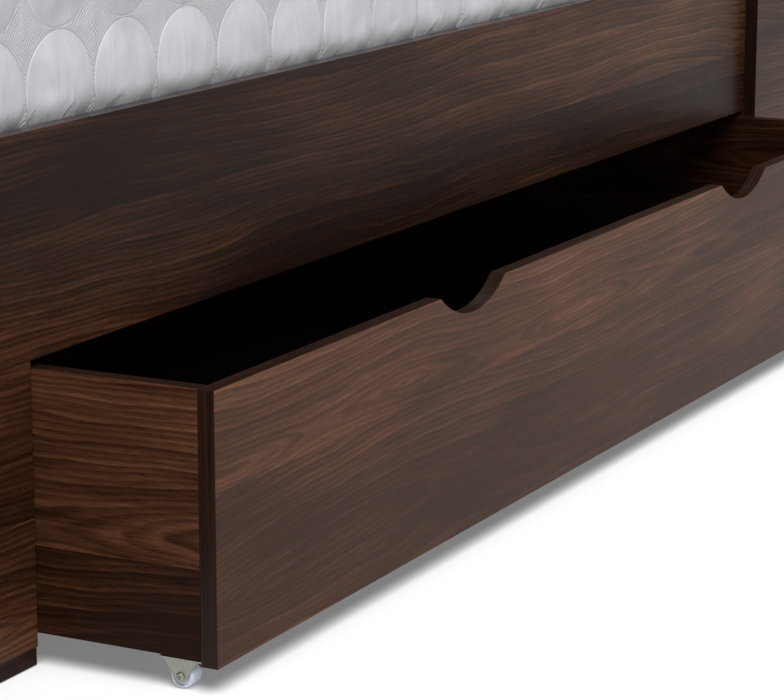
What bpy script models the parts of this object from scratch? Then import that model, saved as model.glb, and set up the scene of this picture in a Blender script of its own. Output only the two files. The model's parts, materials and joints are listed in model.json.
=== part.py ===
"""Queen platform bed with two long roll-out storage drawers.

The bed is built from 15 mm laminated boards: two side rails and a foot rail round the
mattress, an open two-cubby cabinet under the foot end, a bookcase headboard, a slatted base
on a centre beam, and a drawer on each side that rolls on the floor on four small casters.

Frame: +X is the bed's right side, +Y points to the headboard, +Z is up.  The origin is on
the floor under the first centre leg.  The right drawer stands part way out.
"""
import math

import bmesh
import bpy
from mathutils import Matrix, Vector

# Driving dimensions, in metres.
BOARD = 0.015
GAP = 0.0003

HALF_WIDTH = 0.785
RAIL_TOP = 0.429
RAIL_BOTTOM = 0.249

BAY_FOOT_Y = -0.6125
BAY_LENGTH = 1.550
CABINET_DEPTH = 0.515
HEADBOARD_DEPTH = 0.200
HEADBOARD_HEIGHT = 1.000
HEAD_SHELF_TOP = 0.640
BASE_SET_IN = 0.0015

MATTRESS_SIZE = (1.530, 2.030, 0.250)
MATTRESS_BOTTOM = 0.340
MATTRESS_ROUND = 0.025

SLAT_COUNT = 15
SLAT_WIDTH = 0.070
SLAT_THICKNESS = 0.015
STRAP_WIDTH = 0.025
STRAP_THICKNESS = 0.0015
STRAP_SINK = 0.0005
STRAP_X = 0.380
LEDGE_SIZE = (0.025, 0.030)
BEAM_WIDTH = 0.030
LEG_SIZE = 0.040
LEG_SPACING = 0.4625

DRAWER_DEPTH = 0.650
DRAWER_END_GAP = 0.0015
DRAWER_TOP = 0.2428
FRONT_BOTTOM = 0.0210
BOX_BOTTOM = 0.0263
DRAWER_FLOOR = 0.012
RIGHT_DRAWER_OUT = 0.1655
LEFT_DRAWER_OUT = 0.0
NOTCH_WIDTH = 0.131
NOTCH_DEPTH = 0.023
NOTCH_SPACING = 0.668
NOTCH_SHIFT = 0.010
NOTCH_STEPS = 14

WHEEL_RADIUS = 0.010
WHEEL_WIDTH = 0.0148
WHEEL_STEPS = 24
AXLE_RADIUS = 0.002
AXLE_STEPS = 16
BOLT_HEAD_RADIUS = 0.0036
BOLT_HEAD_HEIGHT = 0.0016
FORK_SHEET = 0.0012
FORK_LENGTH = 0.039
FORK_SPAN = 0.0180
FORK_TOP = 0.0245
FORK_PAD_INSET = 0.0022
CHEEK_TOP_HALF = 0.0155
CHEEK_TIP_RADIUS = 0.0052
FRONT_CASTER_SETBACK = FORK_LENGTH / 2 + GAP
BACK_CASTER_SETBACK = 0.040
CASTER_INBOARD = 0.0028

# Planes worked out from the driving dimensions.
BAY_HEAD_Y = BAY_FOOT_Y + BAY_LENGTH
FOOT_Y = BAY_FOOT_Y - CABINET_DEPTH
HEAD_BACK_Y = BAY_HEAD_Y + HEADBOARD_DEPTH
RAIL_INNER_X = HALF_WIDTH - BOARD
STRAP_TOP = MATTRESS_BOTTOM - GAP
SLAT_TOP = STRAP_TOP - STRAP_THICKNESS + STRAP_SINK
SLAT_BOTTOM = SLAT_TOP - SLAT_THICKNESS
DECK_SUPPORT = SLAT_BOTTOM - GAP
DRAWER_FOOT_Y = BAY_FOOT_Y + DRAWER_END_GAP
DRAWER_HEAD_Y = BAY_HEAD_Y - DRAWER_END_GAP
DRAWER_MID_Y = (DRAWER_FOOT_Y + DRAWER_HEAD_Y) / 2


def clear_scene():
    for old in list(bpy.data.objects):
        bpy.data.objects.remove(old, do_unlink=True)


def make_material(name, color, roughness, metallic=0.0):
    material = bpy.data.materials.new(name)
    material.use_nodes = True
    shader = material.node_tree.nodes["Principled BSDF"]
    shader.inputs["Base Color"].default_value = (*color, 1.0)
    shader.inputs["Roughness"].default_value = roughness
    shader.inputs["Metallic"].default_value = metallic
    return material


def add_object(name, mesh, material, location, parent=None):
    """Link a mesh at a world location, keeping that place under its parent."""
    piece = bpy.data.objects.new(name, mesh)
    bpy.context.scene.collection.objects.link(piece)
    place = Vector(location)
    if parent is not None:
        piece.parent = parent
        place = place - parent.location
    piece.location = place
    if not mesh.materials:
        mesh.materials.append(material)
    return piece


def add_box(mesh_edit, low, high):
    size = Vector(high) - Vector(low)
    middle = (Vector(high) + Vector(low)) / 2
    matrix = Matrix.Translation(middle) @ Matrix.Diagonal((*size, 1.0))
    bmesh.ops.create_cube(mesh_edit, size=1.0, matrix=matrix)


def mesh_from(name, mesh_edit):
    bmesh.ops.recalc_face_normals(mesh_edit, faces=mesh_edit.faces)
    mesh = bpy.data.meshes.new(name)
    mesh_edit.to_mesh(mesh)
    mesh_edit.free()
    return mesh


def board(name, low, high, material, parent=None):
    """One rectangular board between two world corners, with its origin at its middle."""
    middle = (Vector(low) + Vector(high)) / 2
    mesh_edit = bmesh.new()
    add_box(mesh_edit, Vector(low) - middle, Vector(high) - middle)
    return add_object(name, mesh_from(name, mesh_edit), material, middle, parent)


def mirrored_board(name, low, high, material):
    """The same board on the right (+X) and on the left (-X) of the bed."""
    board(name + "_right", low, high, material)
    left_low = (-high[0], low[1], low[2])
    left_high = (-low[0], high[1], high[2])
    board(name + "_left", left_low, left_high, material)


def extrude_outline(mesh_edit, points, thickness):
    """Close an outline of points with a face and pull it into a solid along a vector."""
    corners = [mesh_edit.verts.new(point) for point in points]
    face = mesh_edit.faces.new(corners)
    pulled = bmesh.ops.extrude_face_region(mesh_edit, geom=[face])["geom"]
    moved = [item for item in pulled if isinstance(item, bmesh.types.BMVert)]
    bmesh.ops.translate(mesh_edit, verts=moved, vec=thickness)


def apply_modifiers(piece):
    """The piece's evaluated mesh, as a mesh of its own; the piece itself is removed."""
    graph = bpy.context.evaluated_depsgraph_get()
    mesh = bpy.data.meshes.new_from_object(piece.evaluated_get(graph))
    bpy.data.objects.remove(piece, do_unlink=True)
    return mesh


def boolean(piece, other, operation):
    """Join another solid to the piece, or cut it away, with the exact solver."""
    modifier = piece.modifiers.new(operation.lower(), "BOOLEAN")
    modifier.operation = operation
    modifier.solver = "EXACT"
    modifier.object = other
    other.hide_render = True
    other.display_type = "WIRE"


def solid_object(name, mesh_edit, material):
    return add_object(name, mesh_from(name, mesh_edit), material, (0, 0, 0))


def turned_mesh(name, profile, steps, smooth_angle):
    """A solid turned about the Y axis from (radius, y) points of a closed profile or a rod."""
    mesh_edit = bmesh.new()
    on_axis = profile[0][0] == 0.0
    points = profile if on_axis else profile + [profile[0]]
    corners = [mesh_edit.verts.new((radius, y, 0)) for radius, y in points]
    edges = [mesh_edit.edges.new(pair) for pair in zip(corners, corners[1:])]
    bmesh.ops.spin(mesh_edit, geom=corners + edges, axis=(0, 1, 0), cent=(0, 0, 0),
                   angle=2 * math.pi, steps=steps, use_merge=False)
    bmesh.ops.remove_doubles(mesh_edit, verts=mesh_edit.verts, dist=1e-6)
    mesh = mesh_from(name, mesh_edit)
    mesh.shade_smooth()
    mesh.set_sharp_from_angle(angle=math.radians(smooth_angle))
    return mesh


# --- bed frame -----------------------------------------------------------------------------


def make_rails(walnut):
    rail_end = BAY_HEAD_Y - GAP
    mirrored_board("side_rail", (RAIL_INNER_X, FOOT_Y, RAIL_BOTTOM),
                   (HALF_WIDTH, rail_end, RAIL_TOP), walnut)
    inner = RAIL_INNER_X - GAP
    board("foot_rail", (-inner, FOOT_Y, RAIL_BOTTOM), (inner, FOOT_Y + BOARD, RAIL_TOP), walnut)


def make_deck_supports(timber):
    """Ledges along the rails, and a centre beam on two legs, all carrying the slats."""
    ledge_width, ledge_height = LEDGE_SIZE
    foot = FOOT_Y + BOARD + GAP
    head = BAY_HEAD_Y - GAP
    outer = RAIL_INNER_X - GAP
    mirrored_board("slat_ledge", (outer - ledge_width, foot, DECK_SUPPORT - ledge_height),
                   (outer, head, DECK_SUPPORT), timber)
    half = BEAM_WIDTH / 2
    board("centre_beam", (-half, foot, RAIL_BOTTOM), (half, head, DECK_SUPPORT), timber)
    for name, y in (("centre_leg_foot", 0.0), ("centre_leg_head", LEG_SPACING)):
        half = LEG_SIZE / 2
        board(name, (-half, y - half, 0), (half, y + half, RAIL_BOTTOM - GAP), timber)


def make_slat_roll(timber):
    """Slats joined by two webbing straps, one body that rolls out over the supports."""
    half_length = RAIL_INNER_X - 2 * GAP
    foot = FOOT_Y + BOARD + 0.02
    head = BAY_HEAD_Y - 0.02
    pitch = (head - foot - SLAT_WIDTH) / (SLAT_COUNT - 1)
    slats = bmesh.new()
    for index in range(SLAT_COUNT):
        y = foot + index * pitch
        add_box(slats, (-half_length, y, SLAT_BOTTOM), (half_length, y + SLAT_WIDTH, SLAT_TOP))
    piece = solid_object("slat_roll", slats, timber)
    straps = bmesh.new()
    margin = 0.01
    for x in (-STRAP_X, STRAP_X):
        half = STRAP_WIDTH / 2
        add_box(straps, (x - half, foot + margin, SLAT_TOP - STRAP_SINK),
                (x + half, head - margin, STRAP_TOP))
    boolean(piece, solid_object("slat_strap_guide", straps, timber), "UNION")


def make_foot_cabinet(walnut):
    """Open cabinet under the foot end: two cubbies that open to the foot."""
    top_z = RAIL_BOTTOM - GAP
    inner_x = RAIL_INNER_X - GAP
    board("foot_cabinet_top", (-HALF_WIDTH, FOOT_Y, top_z - BOARD),
          (HALF_WIDTH, BAY_FOOT_Y, top_z), walnut)
    base_x = HALF_WIDTH - BASE_SET_IN
    board("foot_cabinet_base", (-base_x, FOOT_Y + BASE_SET_IN, 0), (base_x, BAY_FOOT_Y, BOARD),
          walnut)
    low_z = BOARD + GAP
    high_z = top_z - BOARD - GAP
    mirrored_board("foot_cabinet_side", (RAIL_INNER_X, FOOT_Y, low_z),
                   (HALF_WIDTH, BAY_FOOT_Y, high_z), walnut)
    back_y = BAY_FOOT_Y - BOARD
    board("foot_cabinet_back", (-inner_x, back_y, low_z), (inner_x, BAY_FOOT_Y, high_z), walnut)
    half = BOARD / 2
    board("foot_cabinet_divider", (-half, FOOT_Y, low_z), (half, back_y - GAP, high_z), walnut)


def make_headboard(walnut):
    """Bookcase headboard: a closed lower box and two open cubbies above the mattress."""
    side_x = HALF_WIDTH + GAP
    outer_x = side_x + BOARD
    under_top = HEADBOARD_HEIGHT - BOARD - GAP
    back_y = HEAD_BACK_Y - BOARD
    mirrored_board("headboard_side", (side_x, BAY_HEAD_Y, 0), (outer_x, HEAD_BACK_Y, under_top),
                   walnut)
    board("headboard_top", (-outer_x, BAY_HEAD_Y, under_top + GAP),
          (outer_x, HEAD_BACK_Y, HEADBOARD_HEIGHT), walnut)
    shelf_z = HEAD_SHELF_TOP - BOARD
    board("headboard_front", (-HALF_WIDTH, BAY_HEAD_Y, 0),
          (HALF_WIDTH, BAY_HEAD_Y + BOARD, shelf_z - GAP), walnut)
    board("headboard_shelf", (-HALF_WIDTH, BAY_HEAD_Y, shelf_z),
          (HALF_WIDTH, back_y - GAP, HEAD_SHELF_TOP), walnut)
    half = BOARD / 2
    board("headboard_divider", (-half, BAY_HEAD_Y, HEAD_SHELF_TOP + GAP),
          (half, back_y - GAP, under_top), walnut)
    board("headboard_back", (-HALF_WIDTH, back_y, 0), (HALF_WIDTH, HEAD_BACK_Y, under_top), walnut)
    board("headboard_bottom", (-HALF_WIDTH, BAY_HEAD_Y + BOARD + GAP, 0),
          (HALF_WIDTH, back_y - GAP, BOARD), walnut)


def make_mattress(fabric):
    """Plain rounded block the size of the mattress, centred in the bed."""
    width, length, height = MATTRESS_SIZE
    middle_y = (FOOT_Y + BOARD + BAY_HEAD_Y) / 2
    piece = board("mattress", (-width / 2, middle_y - length / 2, MATTRESS_BOTTOM),
                  (width / 2, middle_y + length / 2, MATTRESS_BOTTOM + height), fabric)
    rounding = piece.modifiers.new("rounding", "BEVEL")
    rounding.width = MATTRESS_ROUND
    rounding.segments = 3
    piece.data.shade_smooth()


# --- drawers -------------------------------------------------------------------------------


def notch_arc(middle_y):
    """Points of one finger notch in the front's top edge, from its head end to its foot end."""
    half = NOTCH_WIDTH / 2
    radius = (half ** 2 + NOTCH_DEPTH ** 2) / (2 * NOTCH_DEPTH)
    centre_z = DRAWER_TOP - NOTCH_DEPTH + radius
    swing = math.asin(half / radius)
    points = []
    for step in range(NOTCH_STEPS + 1):
        angle = swing - 2 * swing * step / NOTCH_STEPS
        y = middle_y + radius * math.sin(angle)
        points.append((y, centre_z - radius * math.cos(angle)))
    return points


def make_drawer_front(name, face_x, inward, walnut, parent):
    """Front board, 15 mm thick from its face inward, with two arc notches in its top edge."""
    outline = [(DRAWER_FOOT_Y, FRONT_BOTTOM), (DRAWER_HEAD_Y, FRONT_BOTTOM),
               (DRAWER_HEAD_Y, DRAWER_TOP)]
    for side in (1, -1):
        outline += notch_arc(DRAWER_MID_Y + NOTCH_SHIFT + side * NOTCH_SPACING / 2)
    outline.append((DRAWER_FOOT_Y, DRAWER_TOP))
    mesh_edit = bmesh.new()
    centre = Vector((face_x, DRAWER_MID_Y, 0))
    points = [Vector((face_x, y, z)) - centre for y, z in outline]
    extrude_outline(mesh_edit, points, (inward * BOARD, 0, 0))
    add_object(name, mesh_from(name, mesh_edit), walnut, centre, parent)


def drawer_board(name, face_x, inward, depths, ys, zs, material, parent):
    """A board of the drawer box; depths are measured inward from the front's outer face."""
    xs = sorted(face_x + inward * depth for depth in depths)
    board(name, (xs[0], ys[0], zs[0]), (xs[1], ys[1], zs[1]), material, parent)


def make_drawer_box(side, face_x, inward, materials, parent):
    walnut = materials["walnut"]
    lining = materials["lining"]
    front_back = BOARD + GAP
    make_drawer_front("drawer_%s_front" % side, face_x, inward, walnut, parent)
    wall_z = (BOX_BOTTOM, DRAWER_TOP)
    ends = (("end_foot", DRAWER_FOOT_Y), ("end_head", DRAWER_HEAD_Y - BOARD))
    for label, y in ends:
        drawer_board("drawer_%s_%s" % (side, label), face_x, inward, (front_back, DRAWER_DEPTH),
                     (y, y + BOARD), wall_z, walnut, parent)
    inside = (DRAWER_FOOT_Y + BOARD + GAP, DRAWER_HEAD_Y - BOARD - GAP)
    back_front = DRAWER_DEPTH - BOARD
    drawer_board("drawer_%s_back" % side, face_x, inward, (back_front, DRAWER_DEPTH),
                 inside, wall_z, walnut, parent)
    drawer_board("drawer_%s_bottom" % side, face_x, inward, (front_back, back_front - GAP),
                 inside, (BOX_BOTTOM, BOX_BOTTOM + DRAWER_FLOOR), lining, parent)


# --- casters -------------------------------------------------------------------------------


def cheek_outline(y):
    """Side plate of a caster: wide under the top plate, with a round tip about the axle."""
    top = FORK_TOP - WHEEL_RADIUS - FORK_SHEET / 2
    lean = math.atan2(top, CHEEK_TOP_HALF) - math.acos(
        CHEEK_TIP_RADIUS / math.hypot(top, CHEEK_TOP_HALF))
    steps = 10
    points = [Vector((CHEEK_TOP_HALF, y, top))]
    for step in range(steps + 1):
        angle = lean - (math.pi + 2 * lean) * step / steps
        points.append(Vector((CHEEK_TIP_RADIUS * math.cos(angle), y,
                              CHEEK_TIP_RADIUS * math.sin(angle))))
    points.append(Vector((-CHEEK_TOP_HALF, y, top)))
    return points


def make_fork_mesh(zinc):
    """Folded sheet fork under a narrower pad, drilled for the axle at its origin."""
    plate_top = FORK_TOP - WHEEL_RADIUS
    pad_top = BOX_BOTTOM - GAP - WHEEL_RADIUS
    half_length = FORK_LENGTH / 2
    half_span = FORK_SPAN / 2
    plate_edit = bmesh.new()
    add_box(plate_edit, (-half_length, -half_span, plate_top - FORK_SHEET),
            (half_length, half_span, plate_top))
    fork = solid_object("fork_blank", plate_edit, zinc)
    cheeks_edit = bmesh.new()
    for y in (-half_span, half_span - FORK_SHEET):
        extrude_outline(cheeks_edit, cheek_outline(y), (0, FORK_SHEET, 0))
    cheeks = solid_object("fork_cheeks", cheeks_edit, zinc)
    boolean(fork, cheeks, "UNION")
    pad_edit = bmesh.new()
    pad_length = half_length - FORK_PAD_INSET
    pad_span = half_span - FORK_PAD_INSET
    add_box(pad_edit, (-pad_length, -pad_span, plate_top - FORK_SHEET / 2),
            (pad_length, pad_span, pad_top))
    pad = solid_object("fork_pad", pad_edit, zinc)
    boolean(fork, pad, "UNION")
    bore_edit = bmesh.new()
    turn = Matrix.Rotation(math.pi / 2, 4, "X")
    bmesh.ops.create_cone(bore_edit, cap_ends=True, segments=AXLE_STEPS, depth=2 * FORK_SPAN,
                          radius1=AXLE_RADIUS + GAP, radius2=AXLE_RADIUS + GAP, matrix=turn)
    bore = solid_object("fork_bore", bore_edit, zinc)
    boolean(fork, bore, "DIFFERENCE")
    mesh = apply_modifiers(fork)
    for tool in (cheeks, pad, bore):
        bpy.data.objects.remove(tool, do_unlink=True)
    mesh.shade_smooth()
    mesh.set_sharp_from_angle(angle=math.radians(35))
    return mesh


def make_axle_mesh(steel):
    """Axle bolt: its cross-recessed head is on the -Y side, its locknut on the +Y side."""
    head_y = -FORK_SPAN / 2 - GAP
    nut_y = -head_y
    crown = BOLT_HEAD_RADIUS * 0.7
    nut_radius = BOLT_HEAD_RADIUS * 0.85
    profile = [(0.0, head_y - BOLT_HEAD_HEIGHT), (crown, head_y - BOLT_HEAD_HEIGHT),
               (BOLT_HEAD_RADIUS, head_y - BOLT_HEAD_HEIGHT / 2), (BOLT_HEAD_RADIUS, head_y),
               (AXLE_RADIUS, head_y), (AXLE_RADIUS, nut_y), (nut_radius, nut_y),
               (nut_radius, nut_y + BOLT_HEAD_HEIGHT), (0.0, nut_y + BOLT_HEAD_HEIGHT)]
    mesh = turned_mesh("caster_axle", profile, AXLE_STEPS, 35)
    blank = add_object("axle_blank", mesh, steel, (0, 0, 0))
    slot_length = BOLT_HEAD_RADIUS * 0.6
    slot_width = BOLT_HEAD_RADIUS * 0.13
    slot_y = head_y - BOLT_HEAD_HEIGHT
    cross = [(slot_width, slot_length), (slot_width, slot_width), (slot_length, slot_width)]
    outline = []
    for quarter in range(4):
        turn = Matrix.Rotation(quarter * math.pi / 2, 2)
        corners = [turn @ Vector(corner) for corner in cross]
        outline = [Vector((x, slot_y - GAP, z)) for x, z in corners] + outline
    recess_edit = bmesh.new()
    extrude_outline(recess_edit, outline, (0, GAP + BOLT_HEAD_HEIGHT / 2, 0))
    recess = solid_object("axle_recess", recess_edit, steel)
    boolean(blank, recess, "DIFFERENCE")
    cut = apply_modifiers(blank)
    bpy.data.objects.remove(recess, do_unlink=True)
    return cut


def make_wheel_mesh():
    """Small nylon wheel with rounded treads and a dished web round its hub."""
    half = WHEEL_WIDTH / 2
    bore = AXLE_RADIUS + GAP
    rim = WHEEL_RADIUS * 0.8
    hub = WHEEL_RADIUS * 0.42
    dish = 0.0012
    corner = 0.0010
    side = [(hub, half), (hub, half - dish), (rim, half - dish), (rim, half),
            (WHEEL_RADIUS - corner, half), (WHEEL_RADIUS, half - corner)]
    other = [(radius, -y) for radius, y in reversed(side)]
    profile = [(bore, half)] + side + other + [(bore, -half)]
    return turned_mesh("caster_wheel", profile, WHEEL_STEPS, 50)


def make_casters(side, face_x, inward, meshes, materials, parent):
    """Four casters under the drawer's end walls, heads of the axle bolts facing outward."""
    front_x = face_x + inward * (BOARD + FRONT_CASTER_SETBACK)
    back_x = face_x + inward * (DRAWER_DEPTH - BACK_CASTER_SETBACK)
    inboard = BOARD / 2 + CASTER_INBOARD
    ends = (("foot", DRAWER_FOOT_Y + inboard, 0.0), ("head", DRAWER_HEAD_Y - inboard, math.pi))
    for end, y, turn in ends:
        for row, x in (("front", front_x), ("back", back_x)):
            place = (x, y, WHEEL_RADIUS)
            label = "%s_%s_%s" % (side, end, row)
            for kind in ("fork", "axle"):
                piece = add_object("caster_%s_%s" % (kind, label), meshes[kind],
                                   materials["zinc"], place, parent)
                piece.rotation_euler.z = turn
            add_object("caster_wheel_" + label, meshes["wheel"], materials["nylon"], place, parent)


def make_drawer(side, sign, pulled_out, meshes, materials):
    """A drawer on one side of the bed, under an empty on the plane of its front."""
    face_x = sign * (HALF_WIDTH + pulled_out)
    carrier = bpy.data.objects.new("drawer_%s" % side, None)
    bpy.context.scene.collection.objects.link(carrier)
    carrier.location = (face_x, DRAWER_MID_Y, 0)
    make_drawer_box(side, face_x, -sign, materials, carrier)
    make_casters(side, face_x, -sign, meshes, materials, carrier)


def make_bed():
    clear_scene()
    materials = {
        "walnut": make_material("walnut_laminate", (0.070, 0.040, 0.027), 0.40),
        "lining": make_material("drawer_lining", (0.045, 0.028, 0.020), 0.55),
        "timber": make_material("slat_timber", (0.55, 0.42, 0.28), 0.60),
        "fabric": make_material("mattress_fabric", (0.80, 0.80, 0.82), 0.90),
        "zinc": make_material("zinc_plate", (0.72, 0.72, 0.70), 0.35, 1.0),
        "nylon": make_material("white_nylon", (0.80, 0.82, 0.86), 0.35),
    }
    make_rails(materials["walnut"])
    make_deck_supports(materials["timber"])
    make_slat_roll(materials["timber"])
    make_foot_cabinet(materials["walnut"])
    make_headboard(materials["walnut"])
    make_mattress(materials["fabric"])
    meshes = {
        "fork": make_fork_mesh(materials["zinc"]),
        "axle": make_axle_mesh(materials["zinc"]),
        "wheel": make_wheel_mesh(),
    }
    make_drawer("right", 1, RIGHT_DRAWER_OUT, meshes, materials)
    make_drawer("left", -1, LEFT_DRAWER_OUT, meshes, materials)


make_bed()
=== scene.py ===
"""Looks for the platform bed with storage drawers: laminate, quilted mattress, casters, light."""
import math

import bmesh
import bpy
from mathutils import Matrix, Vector, noise
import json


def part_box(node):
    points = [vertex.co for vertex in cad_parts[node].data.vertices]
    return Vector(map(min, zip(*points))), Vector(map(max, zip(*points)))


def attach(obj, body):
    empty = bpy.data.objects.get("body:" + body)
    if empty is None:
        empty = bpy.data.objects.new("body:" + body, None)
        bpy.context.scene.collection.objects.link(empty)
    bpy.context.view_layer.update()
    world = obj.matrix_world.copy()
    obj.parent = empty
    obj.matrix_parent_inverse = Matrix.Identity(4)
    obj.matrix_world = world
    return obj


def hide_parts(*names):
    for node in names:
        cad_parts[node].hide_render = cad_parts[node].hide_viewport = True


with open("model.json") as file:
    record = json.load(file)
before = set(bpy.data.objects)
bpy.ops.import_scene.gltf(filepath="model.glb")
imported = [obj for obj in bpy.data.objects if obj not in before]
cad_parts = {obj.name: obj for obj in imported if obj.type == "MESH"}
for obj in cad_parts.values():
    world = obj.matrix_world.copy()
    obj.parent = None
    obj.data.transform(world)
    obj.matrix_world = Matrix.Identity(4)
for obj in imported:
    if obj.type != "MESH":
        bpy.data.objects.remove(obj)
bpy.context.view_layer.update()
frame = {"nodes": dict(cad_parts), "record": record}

NODES = frame["nodes"]
BED = "bed_frame"
X, Y, Z = 0, 1, 2


def nodes_in(slot):
    """Names of the CAD nodes in a material slot."""
    return [entry["node"] for entry in frame["record"]["subparts"]
            if entry["material_slot"] == slot]


# --- shader graph helper ---------------------------------------------------------------------


class Graph:
    """Adds nodes to a material and links them; a value may be a socket, number or tuple."""

    def __init__(self, name):
        self.material = bpy.data.materials.new(name)
        self.material.use_nodes = True
        self.tree = self.material.node_tree
        self.shader = self.tree.nodes["Principled BSDF"]

    def put(self, socket, value):
        if isinstance(value, bpy.types.NodeSocket):
            self.tree.links.new(value, socket)
        elif value is not None:
            socket.default_value = value

    def node(self, kind, settings=None, **inputs):
        made = self.tree.nodes.new(kind)
        for key, value in (settings or {}).items():
            setattr(made, key, value)
        for key, value in inputs.items():
            self.put(made.inputs[key.replace("_", " ")], value)
        return made

    def math(self, operation, *values):
        made = self.tree.nodes.new("ShaderNodeMath")
        made.operation = operation
        for socket, value in zip(made.inputs, values):
            self.put(socket, value)
        return made.outputs[0]

    def add(self, a, b):
        return self.math("ADD", a, b)

    def times(self, a, b):
        return self.math("MULTIPLY", a, b)

    def less(self, a, b):
        return self.math("SUBTRACT", a, b)

    def vector(self, x, y, z):
        return self.node("ShaderNodeCombineXYZ", X=x, Y=y, Z=z).outputs[0]

    def noise(self, vector, scale=1.0, detail=2.0, roughness=0.5, distortion=0.0):
        made = self.node("ShaderNodeTexNoise", Vector=vector, Scale=scale, Detail=detail,
                         Roughness=roughness, Distortion=distortion)
        return made.outputs["Fac"]

    def rescale(self, value, low, high, to_low=0.0, to_high=1.0):
        """Ease the value from to_low to to_high as it goes from low to high."""
        made = self.tree.nodes.new("ShaderNodeMapRange")
        made.interpolation_type = "SMOOTHSTEP"
        for key, item in (("Value", value), ("From Min", low), ("From Max", high),
                          ("To Min", to_low), ("To Max", to_high)):
            self.put(made.inputs[key], item)
        return made.outputs[0]

    def ramp(self, value, stops):
        made = self.node("ShaderNodeValToRGB", Fac=value)
        points = made.color_ramp.elements
        while len(points) < len(stops):
            points.new(0.5)
        for point, (position, color) in zip(points, stops):
            point.position = position
            point.color = (*color, 1.0)
        return made.outputs["Color"]

    def mix(self, factor, a, b, blend="MIX"):
        made = self.tree.nodes.new("ShaderNodeMix")
        made.data_type = "RGBA"
        made.blend_type = blend
        self.put(made.inputs[0], factor)
        for socket, value in ((made.inputs[6], a), (made.inputs[7], b)):
            if isinstance(value, tuple) and len(value) == 3:
                value = (*value, 1.0)
            self.put(socket, value)
        return made.outputs[2]

    def bump(self, height, distance, strength=1.0, normal=None):
        made = self.node("ShaderNodeBump", Height=height, Distance=distance, Strength=strength)
        self.put(made.inputs["Normal"], normal)
        return made.outputs[0]

    def coordinates(self):
        """Object coordinates, which on a CAD node are places in the bed's frame, in metres."""
        where = self.node("ShaderNodeTexCoord").outputs["Object"]
        return self.node("ShaderNodeSeparateXYZ", Vector=where).outputs[:3]

    def finish(self, **inputs):
        for key, value in inputs.items():
            self.put(self.shader.inputs[key.replace("_", " ")], value)
        return self.material


# --- walnut laminate -------------------------------------------------------------------------

WALNUT_STOPS = (
    (0.00, (0.0120, 0.0042, 0.0021)),
    (0.30, (0.0300, 0.0108, 0.0050)),
    (0.55, (0.0580, 0.0218, 0.0100)),
    (0.78, (0.1000, 0.0405, 0.0195)),
    (1.00, (0.1700, 0.0760, 0.0400)),
)
BAND_STOPS = (
    (0.0, (0.0080, 0.0034, 0.0021)),
    (1.0, (0.0250, 0.0112, 0.0068)),
)
STRIP_WIDTH = 0.145
RING_PITCH = 0.0150
MIDDLE_TONE = 0.57
FACE_IOR = 1.15
BAND_IOR = 1.22
BAND_IOR_BY_NODE = {
    "side_rail_right": 1.48,
    "side_rail_left": 1.48,
    "foot_cabinet_base": 1.10,
}
FACE_ROUGHNESS = 0.40
BAND_ROUGHNESS = 0.26
BAND_SKIN = (0.00015, 0.00045)
BOARD_EDGE = 0.0005
TIMBER_EDGE = 0.0015

# The two drawer fronts are painted paler and milkier than the other boards: painted light, as if
# they caught more light than the rest.
PAINTED_LIT_FRONTS = ("drawer_right_front", "drawer_left_front")
PAINTED_LIGHT_LIFT = (0.0120, 0.0055, 0.0035)
PAINTED_LIGHT_GAIN = 1.45

# Where two strips of the print meet, across the grain, and half the step in tone there.
STRIP_JOINTS = {
    "drawer_right_front": (0.160, 0.05),
    "drawer_left_front": (0.160, 0.05),
    "drawer_right_end_foot": (0.099, 0.24),
    "foot_cabinet_side_right": (0.122, -0.08),
    "side_rail_right": (0.322, 0.04),
}
# How much paler a board is made per metre across its grain, per metre along it, and all over. On
# the drawer fronts the paling across the grain is painted light: their tops are painted paler and
# their bottoms darker, as under light from above. The paling along the grain and all over only
# makes a board paler or darker towards one end or throughout.
TONE_AND_PAINTED_LIGHT = {
    "drawer_right_front": (1.4, -0.14, -0.08),
    "drawer_left_front": (1.4, -0.14, -0.08),
    "drawer_right_end_foot": (0.0, 0.0, -0.13),
    "side_rail_right": (0.0, 0.11, -0.10),
    "foot_cabinet_side_right": (0.0, 0.0, 0.02),
}
# The foil of these boards runs on over their edges instead of ending at a band.
WRAPPED = ("foot_cabinet_top",)


class Board:
    """Places on one board: along its grain, across it, and how far in from its faces."""

    def __init__(self, graph, name, low, high, grain, seed):
        joint, self.rise = STRIP_JOINTS.get(name, (seed * 0.0317, 0.0))
        self.lean, self.drift, self.shade = TONE_AND_PAINTED_LIGHT.get(name, (0.0, 0.0, 0.0))
        self.wrapped = name in WRAPPED
        sizes = [high[axis] - low[axis] for axis in range(3)]
        self.grain = grain
        self.thin = sizes.index(min(sizes))
        self.wide = 3 - self.thin - grain
        self.middle = (low[self.thin] + high[self.thin]) / 2
        self.half = sizes[self.thin] / 2
        self.seed = seed
        self.place = graph.coordinates()
        self.along = graph.add(self.place[grain], seed * 3.71)
        self.side = graph.less(self.place[self.wide], joint)
        if self.wrapped:
            self.side = graph.add(self.side, self.place[self.thin])


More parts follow.
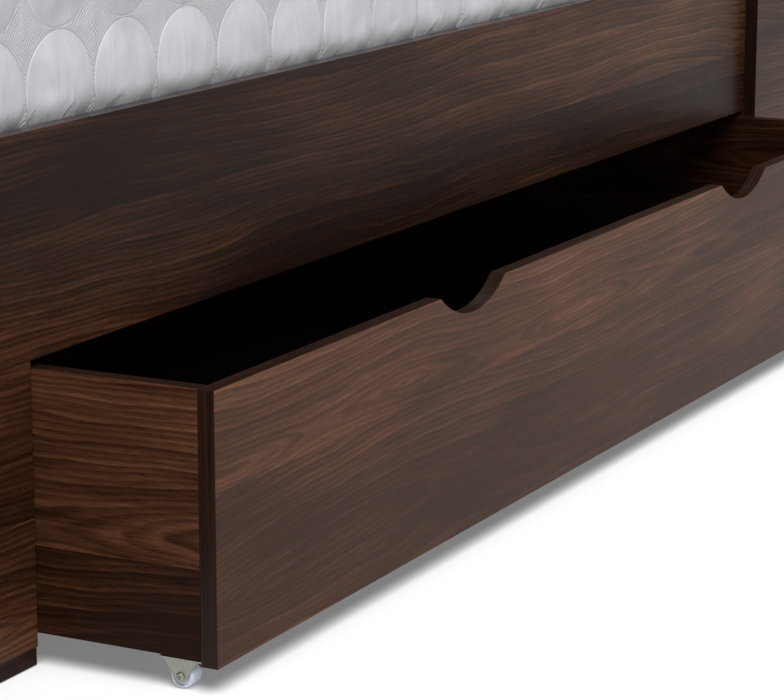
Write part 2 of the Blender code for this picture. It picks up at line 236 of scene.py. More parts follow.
def figure(g, board):
    """Tone of the printed walnut, about 0 to 1, with painted light on the drawer fronts, and the
    fine relief of its pores.
    """
    seed = board.seed
    strip_place = g.times(board.side, 1.0 / STRIP_WIDTH)
    chance = g.node("ShaderNodeTexWhiteNoise", {"noise_dimensions": "1D"},
                    W=g.add(g.math("FLOOR", strip_place), seed * 5.13)).outputs["Value"]
    run = g.add(board.along, g.times(chance, 9.0))
    side = board.side

    def field(along_scale, side_scale, detail=2.0, roughness=0.5, shift=0.0):
        where = g.vector(g.times(run, along_scale), g.times(side, side_scale), seed + shift)
        return g.less(g.noise(where, 1.0, detail, roughness), 0.5)

    heart_place = g.rescale(chance, 0, 1, 0.15, 0.85)
    centre = g.times(g.less(g.math("FRACT", strip_place), heart_place), STRIP_WIDTH)
    off_centre = g.add(centre, g.times(field(1.3, 2.0, shift=2.0), 0.09))
    heart = g.times(field(1.3, 0.5, 1.0, shift=4.0), 0.16)
    radius = g.math("SQRT", g.add(g.times(off_centre, off_centre), g.times(heart, heart)))
    rings = g.add(g.times(radius, 1.0 / RING_PITCH), g.times(field(3.0, 11.0, 3.0, shift=6.0), 1.9))
    wave = g.math("FRACT", rings)
    line = g.times(g.rescale(wave, 0.05, 0.88), g.rescale(wave, 1.0, 0.92))
    year = g.noise(g.vector(g.math("FLOOR", rings), seed, 0.5), 1.0, 0.0)
    jitter = g.times(field(5.0, 60.0, 2.0, shift=11.0), 1.4)
    inner = g.math("FRACT", g.add(g.times(rings, 3.0), jitter))
    contour = g.times(g.rescale(inner, 0.2, 0.8), g.rescale(inner, 1.0, 0.9))
    hair = field(55.0, 1150.0, 2.0, 0.6, 1.0)
    fibre = field(20.0, 520.0, 3.0, 0.7, 9.0)
    streak = field(7.0, 170.0, 3.0, 0.6, 3.0)
    cloud = field(2.4, 8.0, 2.0, 0.5, 5.0)
    flame = field(3.2, 21.0, 2.0, 0.5, 7.0)
    pores = g.add(field(110.0, 1500.0, 1.0, 0.5, 8.0), 0.5)
    pore = g.rescale(pores, 0.58, 0.68)
    parts = (
        (line, -0.16),
        (contour, -0.18),
        (g.less(year, 0.5), 0.20),
        (cloud, 1.15),
        (flame, 0.55),
        (streak, 0.56),
        (fibre, 0.52),
        (hair, 0.36),
        (g.less(chance, 0.5), 0.14),
        (g.math("SIGN", side), board.rise),
        # Painted light: on the drawer fronts this pales the print towards the top and darkens it
        # towards the bottom.
        (side, board.lean),
        (board.place[board.grain], board.drift),
        (pore, -0.14),
    )
    tone = MIDDLE_TONE + board.shade
    for value, share in parts:
        tone = g.add(tone, g.times(value, share))
    return tone, fibre, pore


def walnut(name, low, high, grain, seed):
    """Laminate printed as strips of crown-cut walnut, with a plain band on the board's edges.

    low and high are the board's corners, and grain is the axis that its figure runs along.
    """
    g = Graph("walnut_" + name)
    board = Board(g, name, low, high, grain, seed)
    tone, fibre, pore = figure(g, board)
    thin_place = board.place[board.thin]
    depth = g.math("ABSOLUTE", g.less(thin_place, board.middle))
    on_face = g.rescale(depth, board.half - BAND_SKIN[1], board.half - BAND_SKIN[0])
    lines = g.noise(g.vector(g.times(thin_place, 1400.0), g.times(board.place[grain], 7.0),
                             g.times(board.place[board.wide], 7.0)), 1.0, 2.0)
    band = g.ramp(g.rescale(lines, 0.3, 0.7), BAND_STOPS)
    face = g.ramp(tone, WALNUT_STOPS)
    # Painted light: the drawer fronts are lifted paler here.
    if name in PAINTED_LIT_FRONTS:
        face = g.mix(1.0, face, PAINTED_LIGHT_LIFT, "ADD")
        face = g.mix(1.0, face, (PAINTED_LIGHT_GAIN,) * 3, "MULTIPLY")
    if board.wrapped:
        on_face = 1.0
    color = g.mix(on_face, band, face)
    relief = g.times(g.add(g.times(fibre, 0.6), g.times(pore, -0.8)), on_face)
    smooth = g.rescale(on_face, 0.0, 1.0, BAND_ROUGHNESS, FACE_ROUGHNESS)
    rough = g.add(smooth, g.times(relief, 0.20))
    band_ior = BAND_IOR_BY_NODE.get(name, BAND_IOR)
    return g.finish(Base_Color=color, Roughness=rough, Normal=g.bump(relief, 0.00008, 0.5),
                    IOR=g.rescale(on_face, 0.0, 1.0, band_ior, FACE_IOR))


# The axis that these boards' figure runs along. On the others it is the longest one.
GRAIN_BY_NODE = {
    "headboard_side_right": Y,
    "headboard_side_left": Y,
    "headboard_divider": Y,
    "foot_cabinet_top": Y,
    "foot_cabinet_base": Y,
}


def dress(node_name, material):
    """Give a CAD node its finished material in every slot."""
    piece = NODES[node_name]
    for slot in piece.material_slots:
        slot.material = material
    return piece


def soften_edges(piece, width):
    """Join the node's doubled corners and round its edges a little, so that they catch light."""
    weld = piece.modifiers.new("weld", "WELD")
    weld.merge_threshold = 0.00005
    bevel = piece.modifiers.new("edges", "BEVEL")
    bevel.width = width
    bevel.segments = 2
    bevel.limit_method = "ANGLE"
    bevel.angle_limit = math.radians(60)


def dress_boards():
    """Give each laminate board a print of its own, along its length unless listed otherwise."""
    for index, name in enumerate(sorted(nodes_in("walnut_laminate"))):
        low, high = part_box(name)
        sizes = [high[axis] - low[axis] for axis in range(3)]
        grain = GRAIN_BY_NODE.get(name, sizes.index(max(sizes)))
        seed = index * 1.37 + 0.5
        soften_edges(dress(name, walnut(name, low, high, grain, seed)), BOARD_EDGE)


def lining():
    """Dark foil on the drawers' floors, with a faint grain; its near-black colour is partly painted
    shade for the deep inside of the drawers.
    """
    g = Graph("drawer_lining")
    x, y, z = g.coordinates()
    streak = g.noise(g.vector(g.times(x, 300.0), g.times(y, 6.0), z), 1.0, 2.0)
    # Painted shade: the foil is kept near-black for the shade inside the drawers.
    color = g.ramp(streak, ((0.3, (0.014, 0.0042, 0.0036)), (0.7, (0.028, 0.0090, 0.0072))))
    return g.finish(Base_Color=color, Roughness=g.rescale(streak, 0, 1, 0.5, 0.6),
                    Normal=g.bump(streak, 0.00008, 0.5))


STRAP_PLACE = 0.380
STRAP_HALF = 0.0127
STRAP_THICKNESS = 0.0012
THREADS = 3800.0


def slat_timber():
    """Pale sanded slats; on the slat roll the straps are grey webbing."""
    g = Graph("slat_timber")
    x, y, z = g.coordinates()
    streak = g.noise(g.vector(g.times(x, 6.0), g.times(y, 260.0), g.times(z, 260.0)), 1.0, 3.0)
    wood = g.ramp(streak, ((0.25, (0.36, 0.24, 0.13)), (0.75, (0.56, 0.42, 0.26))))
    near = g.math("ABSOLUTE", g.less(g.math("ABSOLUTE", x), STRAP_PLACE))
    in_strap = g.math("LESS_THAN", near, STRAP_HALF)
    slat_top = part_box("slat_roll")[1][Z] - STRAP_THICKNESS
    on_top = g.math("GREATER_THAN", z, slat_top)
    strap = g.times(in_strap, on_top)
    weave = g.times(g.math("SINE", g.times(x, THREADS)), g.math("SINE", g.times(y, THREADS)))
    webbing = g.ramp(g.rescale(weave, -1, 1), ((0, (0.10, 0.10, 0.11)), (1, (0.24, 0.24, 0.25))))
    color = g.mix(strap, wood, webbing)
    relief = g.mix(strap, streak, weave)
    return g.finish(Base_Color=color, Roughness=g.rescale(streak, 0, 1, 0.55, 0.75),
                    Normal=g.bump(relief, 0.0002, 0.5))


def dress_timber():
    """Dress the slats, ledges, centre beam and its legs, then the drawers' floors."""
    timber = slat_timber()
    for name in nodes_in("slat_timber"):
        soften_edges(dress(name, timber), TIMBER_EDGE)
    foil = lining()
    for name in nodes_in("drawer_lining"):
        soften_edges(dress(name, foil), BOARD_EDGE)


# --- quilted mattress ------------------------------------------------------------------------

# The quilt: square cells, each with a circular seam, stitched in nested diamonds between.
CELL = 0.0961
FIRST_SEAM_Y = -0.5785
SEAM_RADIUS = CELL / 2 - 0.0008
SEAM_WIDTH = 0.0016
DIAMOND_PITCH = 0.0038
RIB_PITCH = 0.0019
CELL_SIDES = 32
PUFF_RINGS = (0.22, 0.42, 0.60, 0.76, 0.88, 0.955, 1.0)
SKIN = 0.004

# The simulated patch of cover: its mesh, its slack, and how much of its loft is kept.
PATCH_CELLS = 3
PATCH_STEPS = 34
PATCH_FRAMES = 20
COVER_SLACK = -0.045
LOFT_LIMIT = 0.0065
LOFT_SHARE = 0.62
PLAIN_PUFF = 0.0042
PLAIN_LATTICE = 0.0024

# The mattress's outline, core and piping, measured in from the CAD block's box.
CORNER = 0.070
EDGE_DROP = 0.010
BOTTOM_RISE = 0.004
RIM_INSET = 0.006
CORE_INSET = 0.014
CORE_RISE = 0.001
CORE_DROP = 0.006
CORE_STEPS = 96
PIPING_RADIUS = 0.0036
PIPING_STEPS = 240

# How the cover lies. BORDER_TUCK and every reach, rise and fade are distances over which
# something sets in, and the rest are depths and heights.
BORDER_TUCK = 0.022
TUCK_DEPTH = 0.006
TUCK_REACH = 0.030
CROWN = 0.011
CROWN_REACH = 0.060
TOP_SINK = 0.001
BULGE = 0.0032
BULGE_RISE = 0.006
BULGE_FADE = 0.060
RAIL_CLEARANCE = 0.002
SETTLE_BROAD = 0.0022
SETTLE_FINE = 0.0009
SETTLE_REACH = 0.05

# Wrinkles where the cover tucks in behind the rail, and painted shade: along the wrinkles the cover
# is painted darker and bluish, a painted shadow just over the rail. They start at the first of
# these heights over the rail's top and are full at the second.
FOLD_SHADE_TOP = 0.019
FOLD_SHADE_FULL = 0.001


def plain_loft(u, v):
    """Loft of a cell at a place in cell widths from its middle, without simulating it."""
    reach = math.hypot(u, v) * CELL / SEAM_RADIUS
    if reach < 1.0:
        return PLAIN_PUFF * (1 - reach ** 2.6) ** 0.7
    return PLAIN_LATTICE * min(1.0, (reach - 1.0) * SEAM_RADIUS / 0.008) ** 0.7


def patch_mesh():
    """A flat patch of cover, with its circular seams and outer edge listed as held points."""
    count = PATCH_CELLS * PATCH_STEPS
    step = CELL / PATCH_STEPS
    mesh_edit = bmesh.new()
    held = []
    grid = []
    for row in range(count + 1):
        line = []
        for column in range(count + 1):
            u = (column - count / 2) * step
            v = (row - count / 2) * step
            middle_u = (column // PATCH_STEPS + 0.5 - PATCH_CELLS / 2) * CELL
            middle_v = (row // PATCH_STEPS + 0.5 - PATCH_CELLS / 2) * CELL
            out = Vector((u - middle_u, v - middle_v))
            on_seam = abs(out.length - SEAM_RADIUS) < 0.6 * step
            if on_seam:
                out = out.normalized() * SEAM_RADIUS
                u = middle_u + out.x
                v = middle_v + out.y
            height = 0.0002 * noise.noise(Vector((u * 90.0, v * 60.0, 3.0)))
            line.append(mesh_edit.verts.new((u, v, height)))
            if on_seam or row in (0, count) or column in (0, count):
                held.append(row * (count + 1) + column)
        grid.append(line)
    for below, above in zip(grid, grid[1:]):
        for index in range(count):
            mesh_edit.faces.new((below[index], below[index + 1], above[index + 1], above[index]))
    mesh = bpy.data.meshes.new("quilt_patch")
    mesh_edit.to_mesh(mesh)
    mesh_edit.free()
    return mesh, held


def inflated_heights():
    """Heights of the patch's points after Cloth has blown it up between its seams."""
    mesh, held = patch_mesh()
    patch = bpy.data.objects.new("quilt_patch", mesh)
    bpy.context.scene.collection.objects.link(patch)
    pins = patch.vertex_groups.new(name="seams")
    pins.add(held, 1.0, "REPLACE")
    cloth = patch.modifiers.new("inflate", "CLOTH").settings
    cloth.vertex_group_mass = "seams"
    cloth.quality = 5
    cloth.mass = 0.15
    cloth.tension_stiffness = 12.0
    cloth.compression_stiffness = 12.0
    cloth.shear_stiffness = 5.0
    cloth.bending_stiffness = 0.05
    cloth.shrink_min = COVER_SLACK
    cloth.use_pressure = True
    cloth.uniform_pressure_force = 4.0
    cloth.effector_weights.gravity = 0.0
    scene = bpy.context.scene
    for frame_number in range(1, PATCH_FRAMES + 1):
        scene.frame_set(frame_number)
    shaped = patch.evaluated_get(bpy.context.evaluated_depsgraph_get())
    heights = [abs(vert.co.z) * LOFT_SHARE for vert in shaped.data.vertices]
    scene.frame_set(1)
    bpy.data.objects.remove(patch, do_unlink=True)
    return heights


class Loft:
    """How far the cover stands off its backing, cell by cell."""

    def __init__(self):
        self.heights = inflated_heights()

    def patch_height(self, u, v):
        """Simulated height at a place in the patch's middle cell, in cell widths."""
        count = PATCH_CELLS * PATCH_STEPS
        column = (u + PATCH_CELLS / 2) * PATCH_STEPS
        row = (v + PATCH_CELLS / 2) * PATCH_STEPS
        left = min(count - 1, max(0, int(column)))
        low = min(count - 1, max(0, int(row)))
        share_u = column - left
        share_v = row - low

        def at(dr, dc):
            return min(LOFT_LIMIT, self.heights[(low + dr) * (count + 1) + left + dc])

        near = at(0, 0) * (1 - share_u) + at(0, 1) * share_u
        far = at(1, 0) * (1 - share_u) + at(1, 1) * share_u
        return near * (1 - share_v) + far * share_v

    def at(self, u, v, turn):
        """Height at (u, v), in cell widths from the cell's middle, turned one of eight ways."""
        if self.heights is None:
            return plain_loft(u, v)
        if turn & 1:
            u = -u
        if turn & 2:
            v = -v
        if turn & 4:
            u, v = v, u
        return self.patch_height(u, v)


def cell_border(count):
    """Points round the edge of a unit cell, evenly spaced along its four sides."""
    per_side = count // 4
    corners = [(-0.5, -0.5), (0.5, -0.5), (0.5, 0.5), (-0.5, 0.5)]
    points = []
    for index, start in enumerate(corners):
        end = corners[(index + 1) % 4]
        for step in range(per_side):
            share = step / per_side
            points.append((start[0] + (end[0] - start[0]) * share,
                           start[1] + (end[1] - start[1]) * share))
    return points


def quilt_cell(mesh_edit, known, loft, origin, column, row):
    """One cell of the quilt: rings of points out to its seam, then to its square edge."""
    turn = (column * 5 + row * 3) % 8
    cu = origin[0] + (column + 0.5) * CELL
    cv = origin[1] + (row + 0.5) * CELL

    def corner(u, v):
        key = (round((cu + u * CELL) * 1e5), round((cv + v * CELL) * 1e5))
        if key not in known:
            known[key] = mesh_edit.verts.new((cu + u * CELL, cv + v * CELL, loft.at(u, v, turn)))
        return known[key]

    seam = SEAM_RADIUS / CELL
    rings = []
    for share in PUFF_RINGS:
        rings.append([])
        for u, v in cell_border(CELL_SIDES):
            size = math.hypot(u, v)
            rings[-1].append(corner(u / size * seam * share, v / size * seam * share))
    for share in (0.5, 1.0):
        rings.append([])
        for u, v in cell_border(CELL_SIDES):
            size = math.hypot(u, v)
            reach = (seam * (1 - share) + size * share) / size
            rings[-1].append(corner(u * reach, v * reach))
    middle = corner(0.0, 0.0)
    for index in range(CELL_SIDES):
        following = (index + 1) % CELL_SIDES
        mesh_edit.faces.new((middle, rings[0][index], rings[0][following]))
        for inner, outer in zip(rings, rings[1:]):
            points = [inner[index], outer[index], outer[following], inner[following]]
            if len(set(points)) == len(points):
                mesh_edit.faces.new(points)


def quilt_sheet(loft, low, high, origin):
    """Quilt covering the rectangle low-high, as a mesh of (u, v, height) points.

    Its UVs count cells from the origin, so that the fabric's own shading follows the seams.
    """
    mesh_edit = bmesh.new()
    known = {}
    first = [math.floor((low[axis] - origin[axis]) / CELL) for axis in (0, 1)]
    last = [math.ceil((high[axis] - origin[axis]) / CELL) for axis in (0, 1)]
    for row in range(first[1], last[1]):
        for column in range(first[0], last[0]):
            quilt_cell(mesh_edit, known, loft, origin, column, row)
    cuts = ((0, low[0], -1), (0, high[0], 1), (1, low[1], -1), (1, high[1], 1))
    for axis, limit, outward in cuts:
        place = Vector((0, 0, 0))
        normal = Vector((0, 0, 0))
        place[axis] = limit
        normal[axis] = outward
        geometry = mesh_edit.verts[:] + mesh_edit.edges[:] + mesh_edit.faces[:]
        bmesh.ops.bisect_plane(mesh_edit, geom=geometry, plane_co=place, plane_no=normal,
                               clear_outer=True, dist=1e-6)
    layer = mesh_edit.loops.layers.uv.new("quilt")
    for face in mesh_edit.faces:
        face.smooth = True
        for loop in face.loops:
            u, v = loop.vert.co[:2]
            loop[layer].uv = ((u - origin[0]) / CELL, (v - origin[1]) / CELL)
    return mesh_edit


def quilt_fabric():
    """White ticking: ribbed circles, and nested diamonds stitched between their seams, with painted
    shade in its creases and folds and painted highlights on its ridges and seams.
    """
    g = Graph("quilt_ticking")
    flat = g.node("ShaderNodeUVMap", {"uv_map": "quilt"}).outputs[0]
    u, v = g.node("ShaderNodeSeparateXYZ", Vector=flat).outputs[:2]
    in_u = g.less(g.math("FRACT", u), 0.5)
    in_v = g.less(g.math("FRACT", v), 0.5)
    reach = g.math("SQRT", g.add(g.times(in_u, in_u), g.times(in_v, in_v)))
    past_seam = g.less(g.times(reach, CELL), SEAM_RADIUS)
    lattice = g.rescale(past_seam, 0.0, 0.0012)
    seam = g.rescale(g.math("ABSOLUTE", past_seam), 0.0, SEAM_WIDTH)
    seam_highlight_band = g.rescale(g.math("ABSOLUTE", g.add(past_seam, 0.0014)), 0.0013, 0.0)
    spread = g.add(g.math("ABSOLUTE", in_u), g.math("ABSOLUTE", in_v))
    diamonds = g.math("SINE", g.times(spread, 2 * math.pi * CELL / DIAMOND_PITCH))
    hatch_and_painted_highlight = g.times(g.times(diamonds, lattice), 0.5)
    cords = g.math("SINE", g.times(u, 2 * math.pi * CELL / RIB_PITCH))
    ribs = g.times(cords, g.less(1.0, lattice))
    crease_and_painted_shade = g.noise(g.vector(g.times(u, 5.5), g.times(v, 1.1), 0.0), 1.0, 3.0, 0.55, 0.5)
    rumple = g.noise(g.vector(g.times(u, 1.6), g.times(v, 1.3), 5.0), 1.0, 2.0)
    fuzz = g.noise(g.vector(g.times(u, 240.0), g.times(v, 240.0), 0.0), 1.0, 2.0)
    height = g.coordinates()[Z]
    rail_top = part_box("side_rail_right")[1][Z]
    near_rail_top = g.rescale(height, rail_top + FOLD_SHADE_TOP, rail_top + FOLD_SHADE_FULL)
    slant = g.noise(g.vector(g.less(g.times(u, 6.5), g.times(v, 5.5)), g.times(v, 1.8), 9.0),
                    1.0, 3.0, 0.55)
    fold_and_painted_shade = g.times(g.rescale(slant, 0.50, 0.72), near_rail_top)
    normal = g.bump(seam, 0.0007, 0.8)
    normal = g.bump(fold_and_painted_shade, 0.0026, 0.45, normal)
    normal = g.bump(rumple, 0.0120, 0.30, normal)
    normal = g.bump(crease_and_painted_shade, 0.0050, 0.6, normal)
    normal = g.bump(hatch_and_painted_highlight, 0.0010, 0.7, normal)
    normal = g.bump(g.add(g.times(ribs, 0.4), fuzz), 0.00012, 0.6, normal)
    # Painted shade: the cover is painted darker in the hollows of its creases.
    color = g.mix(g.rescale(crease_and_painted_shade, 0.2, 0.8), (0.478, 0.478, 0.508), (0.530, 0.530, 0.560))
    # Painted highlight: the raised ridges of the diamond stitching are painted paler.
    color = g.mix(g.rescale(hatch_and_painted_highlight, 0.1, 0.5, 0.0, 0.30), color, (0.66, 0.66, 0.69))
    # Painted shade: the folds just over the rail are painted darker and bluish.
    color = g.mix(g.times(fold_and_painted_shade, 0.40), color, (0.36, 0.38, 0.46))
    # Painted highlight: a pale line just inside each seam, on one side of every puff, as if light
    # caught the puff's edge.
    painted_seam_highlight = g.times(g.times(seam_highlight_band, g.rescale(in_u, 0.05, -0.30)), 0.42)
    color = g.mix(painted_seam_highlight, color, (0.74, 0.74, 0.76))
    return g.finish(Base_Color=color, Roughness=g.rescale(fuzz, 0, 1, 0.82, 0.96),
                    Sheen_Weight=0.15, Sheen_Roughness=0.5, Normal=normal)


def piping_tape():
    """Twill tape round the mattress's edges."""
    g = Graph("piping_tape")
    x, y, z = g.coordinates()
    twill = g.math("SINE", g.times(g.add(g.add(x, y), z), 2600.0))
    color = g.mix(g.rescale(twill, -1, 1), (0.48, 0.48, 0.51), (0.54, 0.54, 0.565))
    return g.finish(Base_Color=color, Roughness=g.rescale(twill, -1, 1, 0.80, 0.90),
                    Normal=g.bump(twill, 0.0003, 0.5))


def settle(u, v, seed):
    """A soft uneven lie of the cover, in metres."""
    broad = noise.noise(Vector((u * 5.0, v * 5.0, seed)))
    fine = noise.noise(Vector((u * 34.0, v * 11.0, seed + 7.0)))
    return broad * SETTLE_BROAD + fine * SETTLE_FINE


def fade(distance, reach):
    """0 at a sewn edge, rising to 1 at reach from it."""
    share = min(1.0, max(0.0, distance / reach))
    return math.sin(share * math.pi / 2) ** 0.8


class Mattress:
    """Shape of the mattress: a rounded outline with quilted sides and a quilted, crowned top."""

    def __init__(self):
        low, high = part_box("mattress")
        self.mid = Vector(((low[X] + high[X]) / 2, (low[Y] + high[Y]) / 2))
        self.half = Vector(((high[X] - low[X]) / 2 - SKIN, (high[Y] - low[Y]) / 2 - SKIN))
        self.run = 2 * (self.half - Vector((CORNER, CORNER)))
        self.bend = CORNER * math.pi / 2
        self.perimeter = 2 * (self.run.x + self.run.y) + 4 * self.bend
        self.floor = low[Z]
        self.peak = high[Z]
        self.bottom = low[Z] + BOTTOM_RISE
        self.top = high[Z] - EDGE_DROP
        self.first_seam = (FIRST_SEAM_Y - (self.mid.y - self.half.y + CORNER)) % CELL
        self.rail_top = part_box("side_rail_right")[1][Z] + RAIL_CLEARANCE
        self.rim = self.half - Vector((RIM_INSET, RIM_INSET))

    def outline(self, distance):
        """Point and outward normal on the outline, from the +X side's foot end on."""
        place = distance % self.perimeter
        half = self.half
        sides = ((self.run.y, Vector((half.x, -half.y + CORNER)), Vector((0, 1))),
                 (self.run.x, Vector((half.x - CORNER, half.y)), Vector((-1, 0))),
                 (self.run.y, Vector((-half.x, half.y - CORNER)), Vector((0, -1))),
                 (self.run.x, Vector((-half.x + CORNER, -half.y)), Vector((1, 0))))
        for run, start, along in sides:
            outward = Vector((along.y, -along.x))
            if place <= run:
                return start + along * place, outward
            place -= run
            if place <= self.bend:
                angle = place / CORNER
                hub = start + along * run - outward * CORNER
                outward = outward * math.cos(angle) + along * math.sin(angle)
                return hub + outward * CORNER, outward
            place -= self.bend
        return sides[0][1], Vector((1, 0))

    def inside(self, distance, inset):
        """Place in the bed's plan at a distance round the outline, moved in by the inset."""
        spot, outward = self.outline(distance)
        return self.mid + spot - outward * inset

    def on_side(self, u, v, height):
        """Where a quilt point goes on the sides: u round the outline, v its height."""
        spot, outward = self.outline(u)
        edge = min(v - self.bottom, self.top - v)
        swell = height * fade(edge, BORDER_TUCK) + settle(u, v, 1.0) * fade(edge, SETTLE_REACH)
        tuck = TUCK_DEPTH * (1 - fade(edge, TUCK_REACH))
        bulge = BULGE * fade(v - self.rail_top, BULGE_RISE) * fade(self.top - v, BULGE_FADE)
        spot = self.mid + spot + outward * (swell - tuck + bulge)
        return Vector((spot.x, spot.y, v))

    def on_top(self, u, v, height):
        """Where a quilt point goes on the top, drawn in round the corners."""
        edge = min(self.rim.x - abs(u), self.rim.y - abs(v))
        corner_x = abs(u) - (self.rim.x - CORNER)
        corner_y = abs(v) - (self.rim.y - CORNER)
        if corner_x > 0 and corner_y > 0:
            pull = max(corner_x, corner_y) / math.hypot(corner_x, corner_y)
            u = math.copysign(self.rim.x - CORNER + corner_x * pull, u)
            v = math.copysign(self.rim.y - CORNER + corner_y * pull, v)
        swell = height * fade(edge, BORDER_TUCK) + settle(u, v, 3.0) * fade(edge, SETTLE_REACH)
        crown = CROWN * fade(edge, CROWN_REACH)
        return Vector((self.mid.x + u, self.mid.y + v, self.top + crown + swell - TOP_SINK))


def add_piece(name, data, material):
    """Link a piece of the mattress, riding on the bed."""
    piece = bpy.data.objects.new(name, data)
    bpy.context.scene.collection.objects.link(piece)
    data.materials.append(material)
    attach(piece, BED)
    return piece


def quilted_piece(name, mesh_edit, placed, fabric):
    """Bend the flat quilt into place with placed(u, v, height) and give it its backing."""
    for vert in mesh_edit.verts:
        vert.co = placed(*vert.co)
    bmesh.ops.remove_doubles(mesh_edit, verts=mesh_edit.verts, dist=1e-5)
    bmesh.ops.recalc_face_normals(mesh_edit, faces=mesh_edit.faces)
    mesh = bpy.data.meshes.new(name)
    mesh_edit.to_mesh(mesh)
    mesh_edit.free()
    piece = add_piece(name, mesh, fabric)
    backing = piece.modifiers.new("backing", "SOLIDIFY")
    backing.thickness = SKIN
    backing.offset = -1.0
    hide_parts("mattress")


def mattress_core(shape, fabric):
    """Plain block that fills the mattress behind its quilting."""
    core = bmesh.new()
    rings = [[], []]
    for index in range(CORE_STEPS):
        spot = shape.inside(shape.perimeter * index / CORE_STEPS, CORE_INSET)
        for ring, z in zip(rings, (shape.floor + CORE_RISE, shape.top - CORE_DROP)):
            ring.append(core.verts.new((spot.x, spot.y, z)))
    for ring in rings:
        core.faces.new(ring)
    for index in range(CORE_STEPS):
        following = (index + 1) % CORE_STEPS
        core.faces.new((rings[0][index], rings[0][following], rings[1][following],
                        rings[1][index]))
    bmesh.ops.recalc_face_normals(core, faces=core.faces)
    mesh = bpy.data.meshes.new("mattress_core")
    core.to_mesh(mesh)
    core.free()
    mesh.uv_layers.new(name="quilt")
    add_piece("mattress_core", mesh, fabric)


def mattress_piping(shape, label, z, tape):
    """A row of piping round the mattress at height z."""
    name = "mattress_piping_" + label
    curve = bpy.data.curves.new(name, "CURVE")
    curve.dimensions = "3D"
    curve.bevel_depth = PIPING_RADIUS
    curve.bevel_resolution = 3
    spline = curve.splines.new("POLY")
    spline.points.add(PIPING_STEPS - 1)
    spline.use_cyclic_u = True
    for index, point in enumerate(spline.points):
        spot = shape.inside(shape.perimeter * index / PIPING_STEPS, RIM_INSET)
        point.co = (spot.x, spot.y, z, 1.0)
    add_piece(name, curve, tape)


def build_mattress():
    shape = Mattress()
    fabric = quilt_fabric()
    loft = Loft()
    side = quilt_sheet(loft, (0.0, shape.bottom), (shape.perimeter, shape.top),
                       (shape.first_seam, shape.peak + 0.005))
    quilted_piece("mattress_side_quilt", side, shape.on_side, fabric)
    lid = quilt_sheet(loft, -shape.rim, shape.rim, (0.0, shape.first_seam))
    quilted_piece("mattress_top_quilt", lid, shape.on_top, fabric)
    mattress_core(shape, fabric)
    tape = piping_tape()
    mattress_piping(shape, "top", shape.top, tape)
    mattress_piping(shape, "bottom", shape.bottom, tape)


# --- casters ---------------------------------------------------------------------------------

# Height above the floor at which the fork's zinc ends; above it the spacer under the board is
# painted near-black, as painted shade for the dark gap between the fork's plate and the board.
DARK_GAP_BOTTOM = 0.0246


def zinc():
    """Bright zinc plate with a faint spangle; the spacer above the fork's plate is painted
    near-black, painted shade for the gap there.
    """
    g = Graph("zinc_plate")
    x, y, z = g.coordinates()
    where = g.vector(x, y, z)
    patch = g.noise(where, 420.0, 3.0, 0.6)
    scratch = g.noise(g.vector(g.times(x, 300.0), g.times(y, 300.0), g.times(z, 2600.0)), 1.0, 2.0)
    metal = g.ramp(patch, ((0.3, (0.27, 0.27, 0.235)), (0.7, (0.38, 0.38, 0.34))))
    in_dark_gap = g.math("GREATER_THAN", z, DARK_GAP_BOTTOM)
    # Painted shade: near-black above the plate, for the shaded gap under the board.
    color = g.mix(in_dark_gap, metal, (0.012, 0.011, 0.010))
    return g.finish(Base_Color=color, Metallic=g.less(1.0, in_dark_gap),
                    Roughness=g.rescale(patch, 0.2, 0.8, 0.34, 0.50),
                    Normal=g.bump(scratch, 0.00004, 0.5))


def nylon():
    """Milky nylon that lets a little light through."""
    g = Graph("white_nylon")
    x, y, z = g.coordinates()
    cloud = g.noise(g.vector(x, y, z), 260.0, 2.0)
    color = g.ramp(cloud, ((0.3, (0.52, 0.56, 0.65)), (0.7, (0.62, 0.66, 0.74))))
    return g.finish(Base_Color=color, Roughness=g.rescale(cloud, 0.2, 0.8, 0.30, 0.42),
                    Subsurface_Weight=0.12, Subsurface_Scale=0.004,
                    Normal=g.bump(cloud, 0.00006, 0.4))


def dress_casters():
    for slot, material in (("zinc_plate", zinc()), ("white_nylon", nylon())):
        for name in nodes_in(slot):
            dress(name, material)


# --- studio ----------------------------------------------------------------------------------

# Brightness of the world: from low to high, in the Z of the direction looked in, it goes from
# at_low to at_high. The two add up.
SKY = (0.0, 0.9, 0.041, 0.070)
BACKDROP = (0.16, 0.36, 0.80, 0.0)

FLOOR_HALF = 400.0
FLOOR_DROP = 0.0005
FLOOR_TONES = ((0.69, 0.69, 0.69), (0.71, 0.71, 0.71))
FLOOR_GLOW = 0.18

SUN_DIRECTION = (-0.36, 0.34, -1.0)
SUN_STRENGTH = 3.9
SUN_SPREAD = 50.0

# The camera's lens and sensor in millimetres, its place off the cabinet's outer corner in
# metres, and its angles in degrees.
LENS = 136.04
SENSOR = 36.0
EYE_OFF_FACE = 1.2886
EYE_OFF_CABINET = 1.8677
EYE_HEIGHT = 0.7673
HEADING = 27.465
DIP = 12.754


def make_floor():
    """A wide white floor that glows a little, so that it stays white away from the bed."""
    floor_edit = bmesh.new()
    bmesh.ops.create_grid(floor_edit, x_segments=4, y_segments=4, size=FLOOR_HALF)
    mesh = bpy.data.meshes.new("studio_floor")
    floor_edit.to_mesh(mesh)
    floor_edit.free()
    floor = bpy.data.objects.new("studio_floor", mesh)
    floor.location.z = -FLOOR_DROP
    bpy.context.scene.collection.objects.link(floor)
    g = Graph("studio_floor")
    x, y, z = g.coordinates()
    grain = g.noise(g.vector(x, y, z), 60.0, 2.0)
    mesh.materials.append(g.finish(Base_Color=g.mix(grain, *FLOOR_TONES), Roughness=0.9,
                                   Emission_Color=(1.0, 1.0, 1.0, 1.0),
                                   Emission_Strength=FLOOR_GLOW))


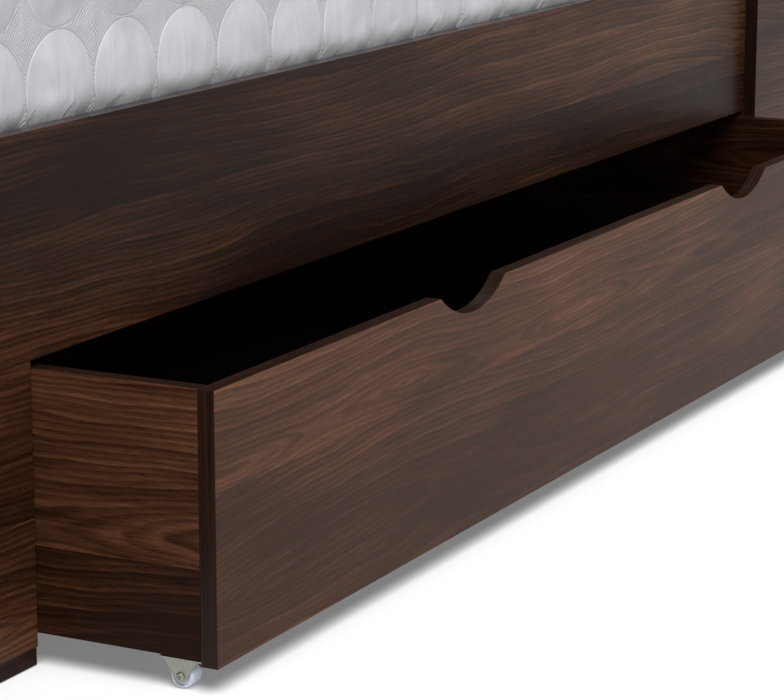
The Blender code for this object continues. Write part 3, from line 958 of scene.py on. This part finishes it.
def make_world():
    """A dim sky over a pale backdrop that stands round the horizon."""
    world = bpy.data.worlds.new("studio")
    world.use_nodes = True
    tree = world.node_tree
    background = tree.nodes["Background"]
    background.inputs["Color"].default_value = (1.0, 1.0, 1.0, 1.0)
    where = tree.nodes.new("ShaderNodeTexCoord")
    split = tree.nodes.new("ShaderNodeSeparateXYZ")
    tree.links.new(where.outputs["Generated"], split.inputs[0])
    total = tree.nodes.new("ShaderNodeMath")
    for index, (low, high, at_low, at_high) in enumerate((SKY, BACKDROP)):
        rise = tree.nodes.new("ShaderNodeMapRange")
        rise.interpolation_type = "SMOOTHSTEP"
        rise.inputs["From Min"].default_value = low
        rise.inputs["From Max"].default_value = high
        rise.inputs["To Min"].default_value = at_low
        rise.inputs["To Max"].default_value = at_high
        tree.links.new(split.outputs["Z"], rise.inputs["Value"])
        tree.links.new(rise.outputs[0], total.inputs[index])
    tree.links.new(total.outputs[0], background.inputs["Strength"])
    bpy.context.scene.world = world


def make_sun():
    """One broad soft light from above the bed's right foot side."""
    light = bpy.data.lights.new("soft_top", "SUN")
    light.energy = SUN_STRENGTH
    light.angle = math.radians(SUN_SPREAD)
    lamp = bpy.data.objects.new("soft_top", light)
    lamp.rotation_euler = Vector(SUN_DIRECTION).to_track_quat("-Z", "Y").to_euler()
    bpy.context.scene.collection.objects.link(lamp)


def make_camera():
    """Camera beyond the bed's foot, looking down along its right side."""
    face_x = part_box("side_rail_right")[1][X]
    cabinet_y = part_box("foot_cabinet_side_right")[1][Y]
    camera = bpy.data.cameras.new("camera")
    camera.lens = LENS
    camera.sensor_width = SENSOR
    camera.clip_end = 500.0
    eye = bpy.data.objects.new("camera", camera)
    eye.location = (face_x + EYE_OFF_FACE, cabinet_y - EYE_OFF_CABINET, EYE_HEIGHT)
    heading = math.radians(HEADING)
    dip = math.radians(DIP)
    ahead = Vector((-math.sin(heading) * math.cos(dip), math.cos(heading) * math.cos(dip),
                    -math.sin(dip)))
    eye.rotation_euler = ahead.to_track_quat("-Z", "Y").to_euler()
    bpy.context.scene.collection.objects.link(eye)
    bpy.context.scene.camera = eye


def build_scene():
    dress_boards()
    dress_timber()
    build_mattress()
    dress_casters()
    make_floor()
    make_world()
    make_sun()
    make_camera()
    settings = bpy.context.scene.view_settings
    settings.view_transform = "Standard"
    settings.look = "None"


build_scene()
